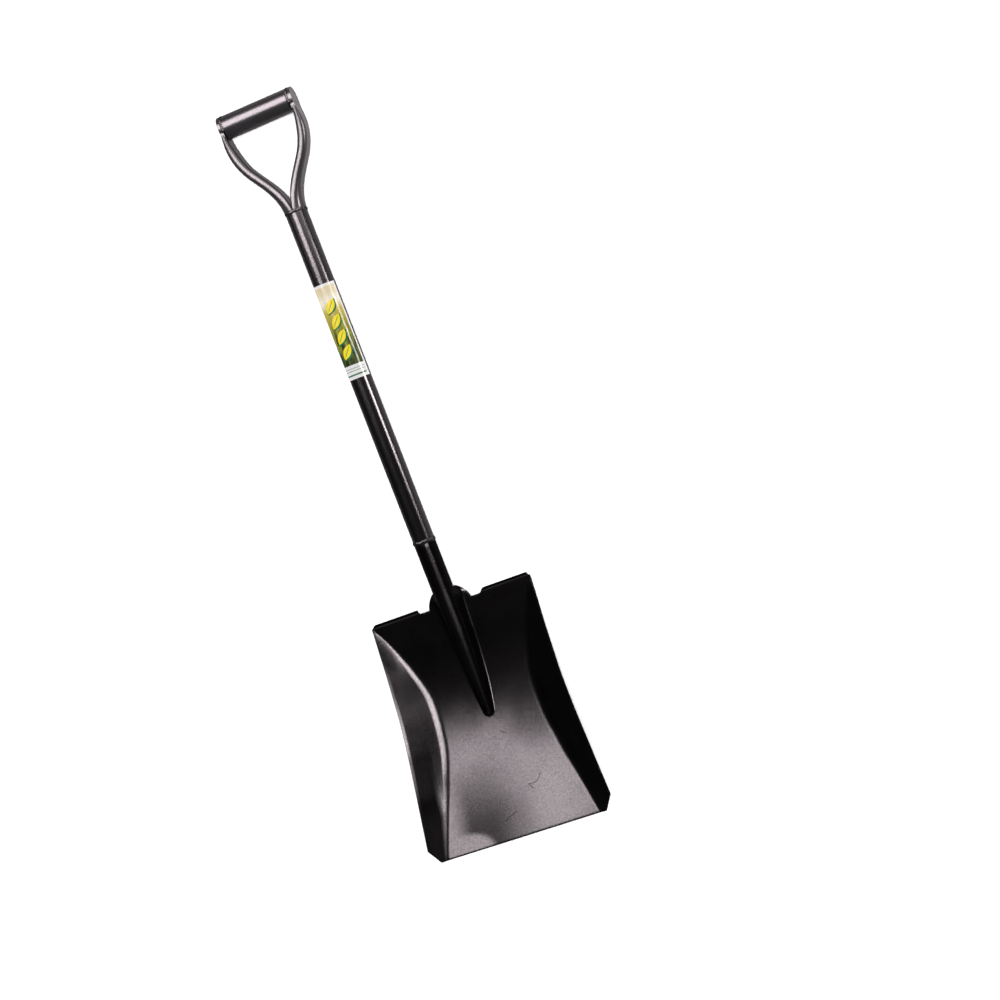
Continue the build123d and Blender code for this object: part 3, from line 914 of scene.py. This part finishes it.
def printed_label():
    """Printed film: a hazy field under a pale sky, a row of leaves, a plain border and foot."""
    m = Material("label_film")
    x, y, z = m.split(m.place)
    turned = m.math("ARCTAN2", x, m.minus(z, AXIS_Z * MM))
    aside = m.times(turned, TUBE_R)
    down = m.math("MULTIPLY_ADD", y, -1 / MM, label_high.y)
    blades = m.noise(300.0, 3.0, 0.6, (1.0, 0.16, 1.0))
    haze = m.noise(90.0, 3.0, 0.6)
    sky = m.mix(m.rise(down, 8.0, 24.0), SAND, CREAM)
    sky = m.mix(m.rise(m.math("MULTIPLY_ADD", haze, 12.0, down), 26.0, 42.0), sky, OCHRE)
    grass = m.mix(m.span(blades, 0.42, 0.6), GRASS_DARK, GRASS_LIGHT)
    grass = m.mix(m.rise(down, 70.0, 102.0, 0.75), grass, GRASS_FOOT)
    field = m.mix(m.rise(m.math("MULTIPLY_ADD", blades, 30.0, down), 45.0, 88.0), sky, grass)

    # Leaves in a row down the middle, yellow, each on its own dark-green shade
    beat = m.math("MODULO", m.minus(down, LEAF_START), LEAF_PITCH)
    beat = m.minus(beat, LEAF_PITCH / 2)
    drift = m.math("MULTIPLY_ADD", m.minus(down, beat), -0.02, 1.4)
    in_row = m.times(m.rise(down, LEAF_START - 0.2, LEAF_START), m.fall(down, LEAF_END - 0.2, LEAF_END))

    def leaf(shift_aside, shift_down, length, width):
        """1 inside a slanting leaf."""
        across = m.minus(m.minus(aside, drift), shift_aside)
        along = m.minus(beat, shift_down)
        cos, sin = math.cos(LEAF_SLOPE), math.sin(LEAF_SLOPE)
        run = m.math("ADD", m.times(across, cos), m.times(along, -sin))
        off = m.math("ADD", m.times(across, sin), m.times(along, cos))
        share = m.math("DIVIDE", run, length)
        edge = m.times(m.minus(1.0, m.times(share, share)), width)
        return m.times(m.rise(m.minus(edge, m.math("ABSOLUTE", off)), -0.15, 0.15), in_row)

    field = m.mix(leaf(0.8, 1.0, 11.6, 6.0), field, LEAF_SHADE)
    field = m.mix(leaf(0.0, 0.0, 10.6, 5.0), field, LEAF_YELLOW)
    field = m.mix(leaf(0.0, 0.0, 8.8, 0.5), field, LEAF_RIB)

    # Plain border, the white foot with its bar and ticks, and the clear overlap beyond the border
    border = m.math("MAXIMUM", m.fall(down, 3.3, 3.6), m.rise(turned, 1.14, 1.16))
    foot = m.rise(down, 105.8, 106.2)
    ticks = m.math("LESS_THAN", m.math("MODULO", m.math("ADD", aside, 100.0), 1.9), 1.15)
    upper, lower = (m.math("COMPARE", down, at, 0.55) for at in (110.3, 113.4))
    ticks = m.times(ticks, m.math("MAXIMUM", upper, lower))
    bar = m.math("COMPARE", down, 118.6, 0.95)
    printed = m.times(m.math("LESS_THAN", turned, 1.08), m.math("MAXIMUM", bar, ticks))
    picture = m.mix(m.math("MAXIMUM", border, foot), field, WHITE)
    picture = m.mix(printed, picture, PRINT_GREEN)
    picture = m.mix(m.rise(turned, 1.33, 1.35), picture, CLEAR_FILM)
    m.link(picture, m.shader.inputs["Base Color"])
    m.link(m.span(haze, 0.3, 0.7, 0.16, 0.24), m.shader.inputs["Roughness"])
    m.link(m.bump(m.noise(120.0, 2.0, 0.5), PEEL_HEIGHT, 0.3), m.shader.inputs["Normal"])
    m.set(Specular_IOR_Level=0.2)
    return m


def dress(piece, m):
    """Gives a piece its one material."""
    piece.data.materials.clear()
    piece.data.materials.append(m.material)


dress(blade, worn_blade())
dress(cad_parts["shaft_tube"], tube_paint)
dress(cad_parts["shaft_label"], printed_label())
# The grip and arms take the lighter copy of the black paint, with light painted into its colour
for node in ("arm_left", "arm_right", "grip_tube"):
    dress(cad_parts[node], grip_paint)
for node, bead in beads.items():
    dress(bead, weld_paint)
    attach(bead, "root")
    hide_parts(node)

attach(blade, "root")
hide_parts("blade")


# ---------------------------------------------------------------- studio

scene = bpy.context.scene
scene.view_settings.view_transform = "Standard"
scene.view_settings.look = "None"

PAPER_WHITE = (1.0, 1.0, 1.0)
PAPER_DARK = (0.90, 0.90, 0.90)
PAPER_LIGHT = (0.93, 0.93, 0.93)
BOX_WHITE = (1.0, 0.885, 0.935)
BOUNCE_WHITE = (1.0, 0.90, 0.95, 1.0)
SURROUND_STRENGTH = 0.95


def sheet_of_paper(name):
    """A wide level square."""
    mesh = bmesh.new()
    bmesh.ops.create_grid(mesh, x_segments=8, y_segments=8, size=6.0)
    return finish_mesh(mesh, name)


floor = sheet_of_paper("floor")
floor_paint = Material("floor_paper")
tone = floor_paint.span(floor_paint.noise(3.0), 0.3, 0.7)
tone = floor_paint.mix(tone, PAPER_DARK, PAPER_LIGHT)
floor_paint.link(tone, floor_paint.shader.inputs["Base Color"])
floor_paint.set(Roughness=0.9, Specular_IOR_Level=0.1)
dress(floor, floor_paint)
floor.visible_glossy = False

# What the paint reflects in place of the floor: bright to the right and behind the grip,
# shade to the left
bounce = sheet_of_paper("bounce")
bounce.location.z = -0.001
bounce_glow = Material("bounce_glow")
across, along, _ = bounce_glow.split(bounce_glow.place)
rightward = bounce_glow.span(across, -0.05, 0.05)
rightward = bounce_glow.times(rightward, bounce_glow.span(along, 0.20, 0.35, 0.85, 1.0))
behind = bounce_glow.span(along, 0.1, 0.3, 0.25, 0.45)
bounce_glow.link(
    bounce_glow.math("MAXIMUM", bounce_glow.times(rightward, 0.9), behind),
    bounce_glow.shader.inputs["Emission Strength"],
)
bounce_glow.set(Base_Color=(0.0, 0.0, 0.0, 1.0), Roughness=1.0, Specular_IOR_Level=0.0)
bounce_glow.set(Emission_Color=BOUNCE_WHITE)
dress(bounce, bounce_glow)
bounce.visible_camera = False
bounce.visible_diffuse = False
bounce.visible_shadow = False

# White surroundings, which light the colours but show in no reflection
world = bpy.data.worlds.new("studio")
scene.world = world
world.use_nodes = True
background = world.node_tree.nodes["Background"]
background.inputs["Color"].default_value = (*PAPER_WHITE, 1.0)
background.inputs["Strength"].default_value = SURROUND_STRENGTH
world.cycles_visibility.glossy = False


def aimed(place, target, upward):
    """Matrix of a light or camera at a place, looking at a target."""
    back = (place - target).normalized()
    right = upward.cross(back).normalized()
    axes = Matrix((right, back.cross(right), back)).transposed().to_4x4()
    return Matrix.Translation(place) @ axes


def softbox(name, place, target, width, length, radiance, colour=BOX_WHITE, lean=0.0):
    """Area light at a place, facing a target; its length runs along Y, leaning towards X."""
    light = bpy.data.lights.new(name, "AREA")
    light.shape = "RECTANGLE"
    light.size = width
    light.size_y = length
    light.energy = radiance * math.pi * width * length
    light.color = colour
    lamp = bpy.data.objects.new(name, light)
    lamp.matrix_world = aimed(Vector(place), Vector(target), Vector((lean, 1.0, 0.0)))
    lamp.visible_camera = False
    scene.collection.objects.link(lamp)
    return lamp


# One box lights the floor; the others show only as highlights, on the blade or on all but it
front = softbox("front", (0.6, 0.07, 2.3), (0.1, 0.0, 0.0), 0.6, 0.6, 50.0, PAPER_WHITE)
front.visible_glossy = False
sheet_key = softbox("sheet_key", (-0.65, 1.85, 2.4), (-0.65, 1.85, 0.0), 0.8, 2.6, 27.0, lean=0.345)
sheet_strip = softbox("sheet_strip", (1.05, 0.13, 2.0), (1.05, 0.13, 0.0), 1.4, 0.5, 56.0)
tube_key = softbox("tube_key", (-0.62, 1.75, 2.4), (-0.62, 1.75, 0.0), 1.6, 2.5, 25.0)
tube_strip = softbox("tube_strip", (2.1, 0.19, 1.02), (0.0, 0.19, 0.0), 0.6, 0.42, 54.0)
glow = softbox("glow", (-0.5, 2.7, 2.4), (-0.5, 2.7, 0.0), 9.0, 4.0, 1.4)
right_glow = softbox("right_glow", (2.7, 2.6, 2.3), (2.7, 2.6, 0.0), 4.6, 4.0, 2.5)
mouth_glow = softbox("mouth_glow", (0.0, -4.0, 2.0), (0.0, 0.0, 0.3), 7.0, 3.6, 0.6)
for lamp, lit, state in (
    (front, floor, "INCLUDE"),
    (mouth_glow, blade, "INCLUDE"),
    (sheet_key, blade, "INCLUDE"),
    (sheet_strip, blade, "INCLUDE"),
    (tube_key, blade, "EXCLUDE"),
    (tube_strip, blade, "EXCLUDE"),
    (glow, blade, "EXCLUDE"),
    (right_glow, blade, "EXCLUDE"),
):
    lamp.visible_diffuse = lamp is front
    receivers = bpy.data.collections.new(lamp.name + "_receivers")
    receivers.objects.link(lit)
    receivers.collection_objects[0].light_linking.link_state = state
    lamp.light_linking.receiver_collection = receivers

# Camera at the photograph's viewing angle
CAMERA_PLACE = Vector((0.5563, 0.0644, 2.0115))
CAMERA_TARGET = Vector((0.1103, -0.0847, 0.0156))
CAMERA_UP = Vector((0.3354, 0.9309, -0.1445))
CAMERA_LENS = 59.39
CAMERA_SENSOR = 36.0

lens = bpy.data.cameras.new("camera")
lens.lens = CAMERA_LENS
lens.sensor_width = CAMERA_SENSOR
camera = bpy.data.objects.new("camera", lens)
camera.matrix_world = aimed(CAMERA_PLACE, CAMERA_TARGET, CAMERA_UP)
scene.collection.objects.link(camera)
scene.camera = camera
